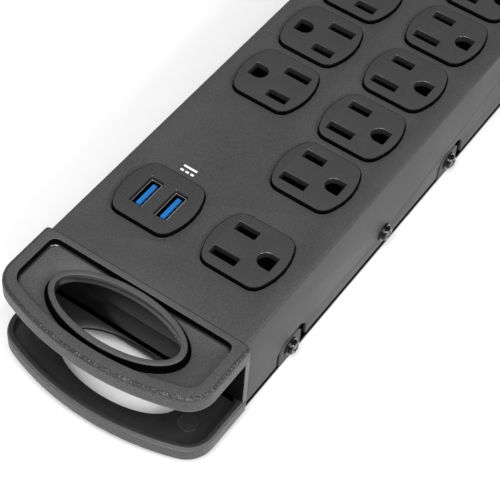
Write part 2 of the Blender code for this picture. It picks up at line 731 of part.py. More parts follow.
def main():
    clear_scene()
    parts = new_collection("power_strip")
    painted = make_material("painted_steel", (0.09, 0.09, 0.092), 0.5, 0.3)
    moulded = make_material("grained_plastic", (0.13, 0.13, 0.132), 0.6)
    black = make_material("black_plastic", (0.012, 0.012, 0.013), 0.25)
    board = make_material("circuit_board", (0.02, 0.16, 0.06), 0.5)
    disc = make_material("varistor_epoxy", (0.03, 0.12, 0.5), 0.4)
    blue = make_material("blue_tongue", (0.02, 0.25, 0.75), 0.35)
    steel = make_material("plated_steel", (0.75, 0.75, 0.76), 0.25, 1.0)
    dark_steel = make_material("black_screw", (0.05, 0.05, 0.052), 0.2, 1.0)
    copper = make_material("brass_contact", (0.8, 0.55, 0.25), 0.3, 1.0)
    red = make_material("red_rocker", (0.6, 0.02, 0.015), 0.2)
    rubber = make_material("black_rubber", (0.015, 0.015, 0.015), 0.8)

    build_cover(parts, painted)
    build_base(parts, painted)
    build_liner(parts, black)
    build_screws(parts, dark_steel)
    build_caps(parts, moulded)
    build_outlets(parts, black)
    build_usb(parts, black, steel, blue, board)
    build_bus_bars(parts, copper)
    build_surge_board(parts, board, disc)
    build_switch(parts, black, red)
    build_breaker(parts, black, moulded)
    build_inlet(parts, rubber, black)


main()
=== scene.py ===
"""Looks of the power strip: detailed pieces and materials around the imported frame.

Lengths are metres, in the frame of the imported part: +X along the strip, +Z up.
"""

import math

import bmesh
import bpy
from mathutils import Matrix, Vector


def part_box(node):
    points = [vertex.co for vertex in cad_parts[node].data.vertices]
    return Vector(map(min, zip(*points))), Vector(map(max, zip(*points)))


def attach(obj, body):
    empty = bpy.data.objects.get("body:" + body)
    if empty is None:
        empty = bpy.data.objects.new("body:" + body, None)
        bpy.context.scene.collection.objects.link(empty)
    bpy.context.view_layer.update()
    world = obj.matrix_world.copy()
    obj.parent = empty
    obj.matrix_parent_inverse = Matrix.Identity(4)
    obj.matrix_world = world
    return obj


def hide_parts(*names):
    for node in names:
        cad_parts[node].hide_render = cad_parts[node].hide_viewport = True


MM = 0.001
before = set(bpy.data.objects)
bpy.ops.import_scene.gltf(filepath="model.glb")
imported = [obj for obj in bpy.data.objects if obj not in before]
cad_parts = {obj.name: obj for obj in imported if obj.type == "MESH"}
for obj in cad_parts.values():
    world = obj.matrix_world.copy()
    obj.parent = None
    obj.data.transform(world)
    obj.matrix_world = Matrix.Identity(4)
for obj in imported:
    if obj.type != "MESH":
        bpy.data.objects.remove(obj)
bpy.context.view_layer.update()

# Sizes of the housing and of the detailed pieces on it
COVER_TOP = 38.6 * MM
FACE_TOP = 40.0 * MM
SHOULDER = 37.3 * MM
FACE_HALF_LENGTH = 13.85 * MM
FACE_HALF_FLAT = 12.45 * MM
FACE_ARC_RADIUS = 22.5 * MM
FACE_CORNER = 3.0 * MM
FACE_EASE = 0.3 * MM
FACE_GAP = 0.3 * MM  # round each face, to its opening in the cover
FACE_BLOCK = (27.5 * MM, 29.5 * MM)
FACE_EDGE_ZONE = (12.0 * MM, 8.0 * MM)  # farther out than any hole reaches
FACE_FLAT_DEPTH = 0.01 * MM
FACE_EASED_DEPTH = 0.22 * MM
SHEET = 1.0 * MM
SKIN = 0.02 * MM  # how deep a thin piece is let into the sheet
BLADE_LINE = 4.8 * MM
BLADE_SPACING = 12.7 * MM
BLADE_SLOT_WIDTH = 3.7 * MM
HOT_SLOT_LENGTH = 8.1 * MM
NEUTRAL_SLOT_LENGTH = 9.9 * MM
GROUND_OFFSET = 11.9 * MM
GROUND_RADIUS = 3.15 * MM
SLOT_CORNER = 0.25 * MM
GROUND_CORNER = 0.3 * MM
OUTLET_BOTTOM = 22.0 * MM
USB_OPENING = (12.64 * MM, 5.3 * MM)
USB_PITCH = 9.9 * MM
USB_SINK = 0.9 * MM  # of the sleeve's lip below its opening
USB_TONGUE_SINK = 1.6 * MM
SLEEVE_WALL = 0.35 * MM
CONTACT_COUNT = 4
CONTACT_PITCH = 2.1 * MM
CONTACT_SIZE = (1.1 * MM, 0.12 * MM)
SCREW_HEAD_HEIGHT = 2.4 * MM
SCREW_CROSS = (3.5 * MM, 0.75 * MM)
SCREW_CROSS_FLOOR = 1.05 * MM
SCREW_CROWN = 2.0 * MM  # above this height the finish is worn
CAP_FRONT = 33.8 * MM
CAP_WIDTH = 80.4 * MM
CAP_BOW_RADIUS = 98.7 * MM
CAP_CORNER_RADIUS = 10.3 * MM
CAP_MID_Z = 21.3 * MM
CAP_HALF_HEIGHT = 17.3 * MM
CAP_PLATE = 7.0 * MM
CAP_WALL = 2.0 * MM
CAP_EDGE = 1.3 * MM
CAP_LIP = (0.3 * MM, 1.1 * MM)
END_WALL = 2.2 * MM
RIM_WIDTH = 4.75 * MM
RECESS_DEPTH = 3.0 * MM
RECESS_FLOOR = 1.2 * MM
CAP_LOW = CAP_HALF_HEIGHT - CAP_PLATE
CAP_FLOOR = CAP_HALF_HEIGHT - RECESS_DEPTH
CAP_UNDERSIDE = CAP_FLOOR - RECESS_FLOOR
CAP_ROUND_STEPS = 5
GRIP_EASE = 0.3 * MM
GRIP_SIDES = 72
GRIP_CENTRE = 15.0 * MM
GRIP_HALF = (10.15 * MM, 23.3 * MM)
LOWER_GRIP_CENTRE = 13.9 * MM
LOWER_GRIP_HALF = (11.25 * MM, 23.3 * MM)
COLLAR_WIDTH = 2.2 * MM
MOAT_WIDTH = 0.8 * MM
MOAT_DEPTH = 0.5 * MM
COLLAR_DROP = 0.2 * MM
BOSS_PLACE = (17.0 * MM, 29.5 * MM)
BOSS_RADIUS = 3.6 * MM
GLAND_RADIUS = 6.7 * MM
GLAND_BORE = 4.2 * MM
GLAND_FLANGE = (9.0 * MM, 2.0 * MM)
GLAND_GAP = 0.3 * MM
GLAND_NOSE = 4.6 * MM
RIB_COUNT = 5
RIB_PITCH = 1.15 * MM
RIB_RADIUS = 6.6 * MM
RIB_TAPER = 0.22 * MM
RIB_DEPTH = 0.7 * MM
HALF_LENGTH = 132.0 * MM
SWITCH_PLACE = (111.0 * MM, -17.85 * MM)
BREAKER_PLACE = (111.0 * MM, 17.85 * MM)
ROCKER_PIVOT = 33.2 * MM
ROCKER_LEAN = 8.0
ROCKER_REACH = 9.0 * MM
ROCKER_HALF_WIDTH = 5.3 * MM
ROCKER_DIP = 3.4 * MM
ROCKER_RISE = 2.0 * MM
MARK_PLACE = 5.6 * MM
MARK_SLOPE = 15.4
MARK_BAR = (3.4 * MM, 0.7 * MM)
MARK_RING = (1.7 * MM, 1.1 * MM)
MARK_HEIGHTS = (-0.1 * MM, 0.06 * MM)
BREAKER_RADIUS = 5.8 * MM
BREAKER_FLANGE = (7.0 * MM, 0.9 * MM)
BREAKER_WELL = (3.6 * MM, 26.5 * MM)
BUTTON_RADIUS = 3.2 * MM
LABEL_PLACE = (-85.4 * MM, 17.8 * MM)
LABEL_ROW = 1.0 * MM
LABEL_STROKE = 0.8 * MM
LABEL_BAR = 5.4 * MM
LABEL_DASH = 1.3 * MM
LABEL_DASH_PITCH = 2.05 * MM
LABEL_HEIGHT = 0.03 * MM
OUTLET_COUNT = 12
SCREW_COUNT = 10
WEAR_SIZE = 1.6 * MM
WELD = 0.00001

# Sections in millimetres: the screw's as radius and height, the rocker's belly as length and height
SCREW_SECTION = (
    (0.0, -4.2),
    (1.2, -4.2),
    (1.7, -3.6),
    (1.7, 0.0),
    (3.5, 0.0),
    (3.5, 0.5),
    (2.75, 0.56),
    (2.7, 1.35),
    (2.35, 1.95),
    (1.6, 2.28),
    (0.0, 2.4),
)
ROCKER_BELLY = ((-9.0, -1.0), (-6.0, -4.5), (0.0, -6.0), (6.0, -4.5), (9.0, -1.0))

# Places in the lists of materials of a face and of a handle half; a face's outer place and a handle's wall
# place hold the painted shade
TOP, EDGE, HOLE, OUTER_SHADE = range(4)
GRAINED, RIM, LIP, INSIDE, WALL_SHADE, GLOSS, SHADE = range(7)


# Materials


def new_shader(name):
    material = bpy.data.materials.new(name)
    material.use_nodes = True
    tree = material.node_tree
    return material, tree, tree.nodes["Principled BSDF"]


def add_noise(tree, size, detail=3.0, kind="ShaderNodeTexNoise"):
    """A 3-D texture in the piece's own space, with marks of about the given size."""
    place = tree.nodes.new("ShaderNodeTexCoord")
    texture = tree.nodes.new(kind)
    texture.inputs["Scale"].default_value = 1.0 / size
    if kind == "ShaderNodeTexNoise":
        texture.inputs["Detail"].default_value = detail
    tree.links.new(place.outputs["Object"], texture.inputs["Vector"])
    return texture.outputs["Fac"] if kind == "ShaderNodeTexNoise" else texture.outputs["Distance"]


def remap(tree, source, low, high, source_low=0.3, source_high=0.7):
    node = tree.nodes.new("ShaderNodeMapRange")
    node.inputs["From Min"].default_value = source_low
    node.inputs["From Max"].default_value = source_high
    node.inputs["To Min"].default_value = low
    node.inputs["To Max"].default_value = high
    tree.links.new(source, node.inputs["Value"])
    return node.outputs["Result"]


def mix_colors(tree, factor, first, second):
    node = tree.nodes.new("ShaderNodeMix")
    node.data_type = "RGBA"
    for socket, value in ((node.inputs[6], first), (node.inputs[7], second)):
        if isinstance(value, tuple):
            socket.default_value = (*value, 1.0)
        else:
            tree.links.new(value, socket)
    tree.links.new(factor, node.inputs[0])
    return node.outputs[2]


def scaled(color, factor):
    return tuple(min(channel * factor, 1.0) for channel in color)


def surface(name, color, roughness, grain, depth, variation=0.12, metallic=0.0, broad=25 * MM, wear=None,
            pits=False, coat=0.0, specular=0.2):
    """A moulded, painted or metal surface: grain in its height, colour and gloss, and broad patches.

    wear, when given, is the colour that shows through in small irregular marks.
    """
    material, tree, shader = new_shader(name)
    fine = add_noise(tree, grain)
    patches = add_noise(tree, broad, 2.0)
    dark = scaled(color, 1 - variation)
    light = scaled(color, 1 + variation)
    tint = mix_colors(tree, remap(tree, fine, 0.0, 1.0), dark, light)
    soft = mix_colors(tree, remap(tree, patches, 0.0, 0.35), tint, scaled(color, 1 + 1.5 * variation))
    if wear:
        marks = add_noise(tree, WEAR_SIZE, 4.0)
        soft = mix_colors(tree, remap(tree, marks, 0.0, 0.8, 0.52, 0.66), soft, wear)
    tree.links.new(soft, shader.inputs["Base Color"])
    gloss = remap(tree, patches, roughness * 0.88, min(roughness * 1.12, 1.0))
    tree.links.new(gloss, shader.inputs["Roughness"])
    shader.inputs["Metallic"].default_value = metallic
    shader.inputs["Specular IOR Level"].default_value = specular
    shader.inputs["Coat Weight"].default_value = coat
    bump = tree.nodes.new("ShaderNodeBump")
    bump.inputs["Strength"].default_value = 1.0
    bump.inputs["Distance"].default_value = depth
    height = add_noise(tree, grain, kind="ShaderNodeTexVoronoi") if pits else fine
    tree.links.new(height, bump.inputs["Height"])
    tree.links.new(bump.outputs["Normal"], shader.inputs["Normal"])
    return material


def make_materials():
    """Each look: colour, roughness, size and height of the grain, and what else it needs."""
    grey = (0.045, 0.045, 0.0456)
    cap = (0.052, 0.052, 0.0525)
    return {
        "coat": surface("powder_coat", grey, 0.5, 0.5 * MM, 0.05 * MM, 0.3),
        "coat_edge": surface("powder_coat_edge", scaled(grey, 1.25), 0.42, 0.35 * MM, 0.012 * MM,
                             wear=scaled(grey, 2.0)),
        "face": surface("outlet_face", (0.036, 0.036, 0.0366), 0.5, 0.45 * MM, 0.045 * MM, 0.25),
        "face_edge": surface("outlet_face_edge", (0.02, 0.02, 0.0205), 0.26, 0.3 * MM, 0.006 * MM,
                             specular=1.0),
        "slot": surface("slot_black", (0.02, 0.02, 0.0204), 0.25, 2.0 * MM, 0.006 * MM, specular=0.5),
        "gloss": surface("moulded_fillet", (0.004, 0.004, 0.0042), 0.2, 2.0 * MM, 0.004 * MM, specular=0.9),
        # Near-black painted shade, for walls in recesses, gaps between parts and the insides of holes and
        # sleeves
        "wall": surface("moulded_wall", (0.001, 0.001, 0.001), 0.35, 1.2 * MM, 0.004 * MM, specular=0.06),
        "grained": surface("grained_cap", scaled(cap, 0.55), 0.36, 0.7 * MM, 0.22 * MM, 0.5,
                           pits=True, specular=0.35),
        "rim": surface("cap_rim", cap, 0.45, 0.5 * MM, 0.07 * MM, 0.35, specular=0.35),
        "lip": surface("cap_lip", scaled(cap, 1.3), 0.32, 0.6 * MM, 0.008 * MM),
        # Smooth inner faces of a handle half, darker than the rim as painted shade between its plates
        "inside": surface("cap_inside", (0.018, 0.018, 0.0183), 0.26, 3.0 * MM, 0.02 * MM, specular=0.35),
        # Painted shade for the end wall deep between a handle's plates
        "shade": surface("end_wall_black", (0.003, 0.003, 0.0031), 0.3, 3.0 * MM, 0.01 * MM, specular=0.15),
        "screw": surface("black_screw", (0.035, 0.035, 0.037), 0.16, 0.9 * MM, 0.006 * MM, metallic=1.0),
        "screw_edge": surface("screw_edge", (0.16, 0.16, 0.165), 0.18, 0.5 * MM, 0.004 * MM, metallic=1.0,
                              wear=(0.3, 0.3, 0.3)),
        "steel": surface("plated_steel", (0.78, 0.78, 0.79), 0.2, 0.4 * MM, 0.004 * MM, 0.06, metallic=1.0),
        "blue": surface("blue_tongue", (0.012, 0.13, 0.4), 0.3, 0.5 * MM, 0.005 * MM),
        "gold": surface("gold_contact", (0.9, 0.72, 0.4), 0.22, 0.3 * MM, 0.003 * MM, metallic=1.0),
        "brass": surface("brass_contact", (0.75, 0.52, 0.24), 0.3, 0.5 * MM, 0.006 * MM, metallic=1.0),
        "board": surface("solder_mask", (0.015, 0.14, 0.05), 0.35, 1.5 * MM, 0.01 * MM),
        "disc": surface("varistor_epoxy", (0.03, 0.12, 0.5), 0.3, 1.2 * MM, 0.03 * MM),
        "rubber": surface("gland_rubber", (0.015, 0.015, 0.015), 0.6, 0.5 * MM, 0.02 * MM),
        "red": surface("rocker_red", (0.55, 0.018, 0.012), 0.2, 0.7 * MM, 0.006 * MM, 0.08, coat=0.4),
        "button": surface("button_grey", (0.13, 0.13, 0.132), 0.4, 0.4 * MM, 0.012 * MM),
        "white": surface("printed_white", (0.8, 0.8, 0.79), 0.5, 0.25 * MM, 0.004 * MM, 0.05),
    }


# Shapes


def arc(centre, radius, start, end, steps):
    points = []
    for index in range(steps + 1):
        angle = start + (end - start) * index / steps
        points.append((centre[0] + radius * math.cos(angle), centre[1] + radius * math.sin(angle)))
    return points


def ellipse(centre, half_x, half_y, steps):
    points = []
    for index in range(steps):
        angle = 2 * math.pi * index / steps
        points.append((centre[0] + half_x * math.cos(angle), centre[1] + half_y * math.sin(angle)))
    return points


def rounded(centre, size, radius, steps=4):
    """A rectangle with rounded corners, counter-clockwise."""
    x, y = size[0] / 2 - radius, size[1] / 2 - radius
    points = []
    for index, (side_x, side_y) in enumerate(((1, 1), (-1, 1), (-1, -1), (1, -1))):
        corner = (centre[0] + side_x * x, centre[1] + side_y * y)
        points += arc(corner, radius, index * math.pi / 2, (index + 1) * math.pi / 2, steps)
    return points


def to_mesh(obj):
    """The object's final mesh, with its modifiers in it."""
    graph = bpy.context.evaluated_depsgraph_get()
    return bpy.data.meshes.new_from_object(obj.evaluated_get(graph))


def new_object(name, mesh):
    obj = bpy.data.objects.new(name, mesh)
    bpy.context.scene.collection.objects.link(obj)
    return obj


def weld(mesh):
    working = bmesh.new()
    working.from_mesh(mesh)
    bmesh.ops.remove_doubles(working, verts=working.verts, dist=WELD)
    bmesh.ops.recalc_face_normals(working, faces=working.faces)
    working.to_mesh(mesh)
    working.free()


def prism_mesh(outline, holes, low, high, ease=0.0):
    """An outline with holes, extruded along Z, with every edge at its two ends eased."""
    curve = bpy.data.curves.new("outline", "CURVE")
    curve.dimensions = "2D"
    curve.fill_mode = "BOTH"
    curve.extrude = (high - low) / 2 - ease
    curve.bevel_depth = ease
    curve.bevel_resolution = 2
    curve.offset = -ease
    for points in [outline] + [list(reversed(hole)) for hole in holes]:
        spline = curve.splines.new("POLY")
        spline.points.add(len(points) - 1)
        spline.use_cyclic_u = True
        for point, (x, y) in zip(spline.points, points):
            point.co = (x, y, 0.0, 1.0)
    guide = new_object("guide", curve)
    mesh = to_mesh(guide)
    bpy.data.objects.remove(guide, do_unlink=True)
    mesh.transform(Matrix.Translation((0.0, 0.0, (low + high) / 2)))
    mesh.materials.clear()
    weld(mesh)
    return mesh


def join_meshes(parts):
    """One mesh from several closed bodies, each given with the index of its material."""
    working = bmesh.new()
    for mesh, index in parts:
        start = len(working.faces)
        working.from_mesh(mesh)
        working.faces.ensure_lookup_table()
        if index is not None:
            for face in working.faces[start:]:
                face.material_index = index
    joined = bpy.data.meshes.new("joined")
    working.to_mesh(joined)
    working.free()
    return joined


def moved(mesh, location=(0.0, 0.0, 0.0), turn=0.0, axis="Z"):
    mesh.transform(Matrix.Translation(location) @ Matrix.Rotation(turn, 4, axis))
    return mesh


def lathe_mesh(profile, sides=48, axis="Z"):
    """A closed profile of (radius, height) points, turned about Z, then laid along another axis."""
    working = bmesh.new()
    rings = []
    for radius, height in profile:
        if radius < WELD:
            rings.append([working.verts.new((0.0, 0.0, height))])
            continue
        ring = []
        for index in range(sides):
            angle = 2 * math.pi * index / sides
            ring.append(working.verts.new((radius * math.cos(angle), radius * math.sin(angle), height)))
        rings.append(ring)
    for first, second in zip(rings, rings[1:]):
        for index in range(sides):
            corners = []
            for ring, step in ((first, 0), (first, 1), (second, 1), (second, 0)):
                vertex = ring[(index + step) % len(ring)]
                if vertex not in corners:
                    corners.append(vertex)
            if len(corners) > 2:
                working.faces.new(corners)
    mesh = bpy.data.meshes.new("turned")
    bmesh.ops.recalc_face_normals(working, faces=working.faces)
    working.to_mesh(mesh)
    working.free()
    if axis == "X":
        mesh.transform(Matrix.Rotation(math.radians(90.0), 4, "Y"))
    return mesh


def eased_profile(points, ease):
    """A profile with every corner off the axis cut back and rounded."""
    result = [points[0]]
    for before, corner, after in zip(points, points[1:], points[2:]):
        here = Vector(corner)
        back = Vector(before) - here
        on = Vector(after) - here
        reach = min(ease, back.length * 0.45, on.length * 0.45)
        first = here + back.normalized() * reach
        last = here + on.normalized() * reach
        for step in (0.0, 0.25, 0.5, 0.75, 1.0):
            point = first * (1 - step) ** 2 + here * 2 * step * (1 - step) + last * step**2
            result.append((point.x, point.y))
    result.append(points[-1])
    return result


def finish_piece(name, mesh, materials, body="housing", replaced=(), smooth=35.0):
    mesh.name = name
    for material in materials[len(mesh.materials) :]:
        mesh.materials.append(material)
    mesh.shade_smooth()
    mesh.set_sharp_from_angle(angle=math.radians(smooth))
    obj = new_object(name, mesh)
    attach(obj, body)
    if replaced:
        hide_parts(*replaced)
    return obj


def eased_copy(node, name, materials, width, extra=()):
    """A node's own solid with its sharp edges eased; the last material covers the eased edges."""
    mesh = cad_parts[node].data.copy()
    mesh.materials.clear()
    working = bmesh.new()
    working.from_mesh(mesh)
    bmesh.ops.remove_doubles(working, verts=working.verts, dist=WELD)
    flat = math.radians(2.0)
    bmesh.ops.dissolve_limit(working, angle_limit=flat, verts=working.verts, edges=working.edges)
    for face in working.faces:
        face.material_index = 0
    working.to_mesh(mesh)
    working.free()
    guide = new_object("guide", mesh)
    for material in materials:
        mesh.materials.append(material)
    bevel = guide.modifiers.new("ease", "BEVEL")
    bevel.limit_method = "ANGLE"
    bevel.angle_limit = math.radians(40.0)
    bevel.width = width
    bevel.segments = 2
    bevel.use_clamp_overlap = True
    bevel.material = len(materials) - 1
    result = to_mesh(guide)
    bpy.data.objects.remove(guide, do_unlink=True)
    if extra:
        result = join_meshes([(result, None), *extra])
    return finish_piece(name, result, materials, replaced=[node])


def finish_node(node, material):
    """A node that keeps its own shape gets its material here."""
    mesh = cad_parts[node].data
    if not mesh.materials:
        mesh.materials.append(material)
    for index in range(len(mesh.materials)):
        mesh.materials[index] = material


# Outlets and USB charger


def curve_through(first, corner, last, steps=6):
    """A corner rounded off, from one point to another beside it."""
    points = []
    for index in range(steps + 1):
        part = index / steps
        start, middle, end = (1 - part) ** 2, 2 * part * (1 - part), part**2
        points.append(tuple(a * start + b * middle + c * end for a, b, c in zip(first, corner, last)))
    return points


def face_corner(grow):
    """The (-X, +Y) corner of a face: the arc's last angle, the corner itself and its rounding."""
    radius = FACE_ARC_RADIUS + grow
    half = FACE_HALF_FLAT + grow
    centre = FACE_HALF_LENGTH - FACE_ARC_RADIUS
    reach = math.asin(half / radius)
    corner = (-half, centre + radius * math.cos(reach))
    stop = math.pi / 2 + reach - FACE_CORNER / radius
    first = (radius * math.cos(stop), centre + radius * math.sin(stop))
    return stop, corner, curve_through(first, corner, (-half, corner[1] - FACE_CORNER))


def face_outline():
    """Two flat ends and two shallow arcs, with its four corners rounded."""
    stop, _, curve = face_corner(0.0)
    centre = (0.0, FACE_HALF_LENGTH - FACE_ARC_RADIUS)
    edge = arc(centre, FACE_ARC_RADIUS, math.pi - stop, stop, 18)
    mirror = [(-x, y) for x, y in reversed(curve)]
    half = mirror + edge[1:-1] + curve
    return half + [(-x, -y) for x, y in half]


def corner_fillers(x, y):
    """Small wedges of sheet that round the corners of one opening in the cover."""
    _, corner, curve = face_corner(FACE_GAP)
    wedge = [corner, *reversed(curve)]
    parts = []
    for side_x in (-1, 1):
        for side_y in (-1, 1):
            outline = [(x + side_x * across, y + side_y * along) for across, along in wedge]
            if side_x * side_y < 0:
                outline.reverse()
            parts.append((prism_mesh(outline, [], COVER_TOP - SHEET, COVER_TOP - SKIN), 0))
    return parts


def ground_outline():
    centre = (0.0, BLADE_LINE - GROUND_OFFSET)
    side = GROUND_RADIUS - GROUND_CORNER
    low = centre[1] - side
    points = arc(centre, GROUND_RADIUS, 0.0, math.pi, 20)
    points += arc((-side, low), GROUND_CORNER, math.pi, 1.5 * math.pi, 3)
    points += arc((side, low), GROUND_CORNER, 1.5 * math.pi, 2 * math.pi, 3)
    return points


def outlet_holes():
    hot = rounded((BLADE_SPACING / 2, BLADE_LINE), (BLADE_SLOT_WIDTH, HOT_SLOT_LENGTH), SLOT_CORNER)
    neutral = rounded((-BLADE_SPACING / 2, BLADE_LINE), (BLADE_SLOT_WIDTH, NEUTRAL_SLOT_LENGTH), SLOT_CORNER)
    return [hot, neutral, ground_outline()]


def receptacle_mesh(holes, bottom):
    """A proud face on its block: grained on top, glossy down its holes, with painted shade round its edge
    and on its block.
    """
    block = prism_mesh(rounded((0.0, 0.0), FACE_BLOCK, 0.5 * MM), holes, bottom, SHOULDER)
    face = prism_mesh(face_outline(), holes, SHOULDER, FACE_TOP, FACE_EASE)
    # The block and the outer edge of the face take the painted shade
    mesh = join_meshes([(block, OUTER_SHADE), (face, HOLE)])
    for polygon in mesh.polygons:
        x, y, z = polygon.center
        outward = polygon.normal.x * x + polygon.normal.y * y > 0
        near_edge = abs(x) > FACE_EDGE_ZONE[0] or abs(y) > FACE_EDGE_ZONE[1]
        if z > FACE_TOP - FACE_FLAT_DEPTH:
            polygon.material_index = TOP
        elif outward and near_edge:
            polygon.material_index = OUTER_SHADE
        elif z > FACE_TOP - FACE_EASED_DEPTH:
            polygon.material_index = EDGE
    return mesh


def place_of(node):
    """The middle of a node's box."""
    low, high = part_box(node)
    return [(first + second) / 2 for first, second in zip(low, high)]


def face_materials(looks):
    return [looks["face"], looks["face_edge"], looks["slot"], looks["wall"]]


def build_outlets(looks):
    source = receptacle_mesh(outlet_holes(), OUTLET_BOTTOM)
    materials = face_materials(looks)
    for index in range(1, OUTLET_COUNT + 1):
        node = f"outlet_{index:02d}"
        x, y = place_of(node)[:2]
        mesh = moved(source.copy(), (x, y, 0.0), math.pi if y > 0 else 0.0)
        finish_piece(f"receptacle_{index:02d}", mesh, materials, replaced=[node])


def build_sleeve(looks, index):
    """A port's metal shell, with painted shade on the faces that look inward."""
    node = f"usb_shell_{index}"
    low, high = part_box(node)
    x, y = place_of(node)[:2]
    size = (high[0] - low[0], high[1] - low[1])
    inner = (size[0] - 2 * SLEEVE_WALL, size[1] - 2 * SLEEVE_WALL)
    outline = rounded((x, y), size, 0.45 * MM)
    hole = rounded((x, y), inner, 0.2 * MM)
    shell = prism_mesh(outline, [hole], low[2], high[2] - USB_SINK, 0.06 * MM)
    for polygon in shell.polygons:
        across, along = polygon.center.x - x, polygon.center.y - y
        inward = polygon.normal.x * across + polygon.normal.y * along < 0
        # Inward faces get the painted shade material
        polygon.material_index = 1 if inward and abs(polygon.normal.z) < 0.3 else 0
    materials = [looks["steel"], looks["wall"]]
    finish_piece(f"usb_sleeve_{index}", shell, materials, replaced=[node])


def build_insert(looks, index):
    """A port's tongue with a row of contacts on one side."""
    node = f"usb_tongue_{index}"
    low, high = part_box(node)
    x, y = place_of(f"usb_shell_{index}")[:2]
    size = (high[0] - low[0], high[1] - low[1])
    top = FACE_TOP - USB_TONGUE_SINK
    parts = [(prism_mesh(rounded((x, y), size, 0.2 * MM), [], low[2], top, 0.15 * MM), 0)]
    for step in range(CONTACT_COUNT):
        spot = (x + (step - (CONTACT_COUNT - 1) / 2) * CONTACT_PITCH, low[1] - 0.04 * MM)
        outline = rounded(spot, CONTACT_SIZE, 0.02 * MM)
        parts.append((prism_mesh(outline, [], low[2] + MM, top - 0.4 * MM), 1))
    materials = [looks["blue"], looks["gold"]]
    finish_piece(f"usb_insert_{index}", join_meshes(parts), materials, replaced=[node])


def build_usb(looks):
    node = "usb_face"
    x, y = place_of(node)[:2]
    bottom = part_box(node)[0][2]
    holes = [rounded((0.0, side * USB_PITCH / 2), USB_OPENING, 0.3 * MM) for side in (1, -1)]
    face = moved(receptacle_mesh(holes, bottom), (x, y, 0.0))
    finish_piece("usb_faceplate", face, face_materials(looks), replaced=[node])
    for index in (1, 2):
        build_sleeve(looks, index)
        build_insert(looks, index)


# Handles


def cap_outline(inset, start, steps=(10, 40)):
    """The bowed outline of a handle, from X = -start outward, drawn a given distance inside."""
    half = CAP_WIDTH / 2 - inset
    bow = CAP_BOW_RADIUS - inset
    corner = max(CAP_CORNER_RADIUS - inset, 2 * MM)
    bow_centre = CAP_BOW_RADIUS - CAP_FRONT
    corner_y = half - corner
    corner_x = bow_centre - math.sqrt((bow - corner) ** 2 - corner_y**2)
    turn = math.atan2(corner_y, bow_centre - corner_x)
    ease = 0.9 * MM + 0.45 * inset
    points = curve_through((-start, half - ease), (-start, half), (-start - ease, half))
    points += arc((corner_x, corner_y), corner, math.pi / 2, math.pi - turn, steps[0])
    points += arc((bow_centre, 0.0), bow, math.pi - turn, math.pi + turn, steps[1])[1:-1]
    points += arc((corner_x, -corner_y), corner, math.pi + turn, 1.5 * math.pi, steps[0])
    points += curve_through((-start - ease, -half), (-start, -half), (-start, ease - half))
    return points


def loft(working, rings, indices):
    """Strips of faces between closed rings of as many points each."""
    for first, second, index in zip(rings, rings[1:], indices):
        for step in range(len(first)):
            after = (step + 1) % len(first)
            face = working.faces.new((first[step], first[after], second[after], second[step]))
            face.material_index = index


def fill_between(working, outer, inner, index):
    """A flat face with a hole in it."""
    edges = []
    for ring in (outer, inner):
        for first, second in zip(ring, ring[1:] + ring[:1]):
            edge = working.edges.get((first, second)) or working.edges.new((first, second))
            edges.append(edge)
    result = bmesh.ops.triangle_fill(working, use_beauty=True, use_dissolve=False, edges=edges)
    for item in result["geom"]:
        if isinstance(item, bmesh.types.BMFace):
            item.material_index = index


def rim_rows():
    """Rows of inset, start, height and material, from a half's lower edge over its rim to its recess."""
    top = CAP_HALF_HEIGHT
    lip_inset, lip_height = CAP_LIP
    rows = [
        (CAP_WALL, END_WALL, CAP_LOW, INSIDE),
        (lip_inset + 0.2 * MM, 0.0, CAP_LOW, LIP),
        (lip_inset, 0.0, CAP_LOW + 0.2 * MM, LIP),
        (lip_inset, 0.0, CAP_LOW + lip_height, LIP),
        (0.0, 0.0, CAP_LOW + lip_height + 0.15 * MM, GRAINED),
    ]
    for step in range(CAP_ROUND_STEPS + 1):
        angle = math.pi / 2 * step / CAP_ROUND_STEPS
        inset = CAP_EDGE * (1 - math.cos(angle))
        index = GRAINED if step < CAP_ROUND_STEPS else RIM
        rows.append((inset, 0.0, top - CAP_EDGE + CAP_EDGE * math.sin(angle), index))
    return rows + [
        (RIM_WIDTH - 0.3 * MM, END_WALL - 0.3 * MM, top, RIM),
        # The wall down from the rim into the recess takes the painted shade
        (RIM_WIDTH - 0.08 * MM, END_WALL - 0.08 * MM, top - 0.1 * MM, WALL_SHADE),
        (RIM_WIDTH, END_WALL, top - 0.35 * MM, WALL_SHADE),
        (RIM_WIDTH + 0.05 * MM, END_WALL + 0.05 * MM, CAP_FLOOR + 0.5 * MM, GLOSS),
        (RIM_WIDTH + 0.2 * MM, END_WALL + 0.2 * MM, CAP_FLOOR + 0.15 * MM, GLOSS),
        (RIM_WIDTH + 0.55 * MM, END_WALL + 0.55 * MM, CAP_FLOOR, RIM),
    ]


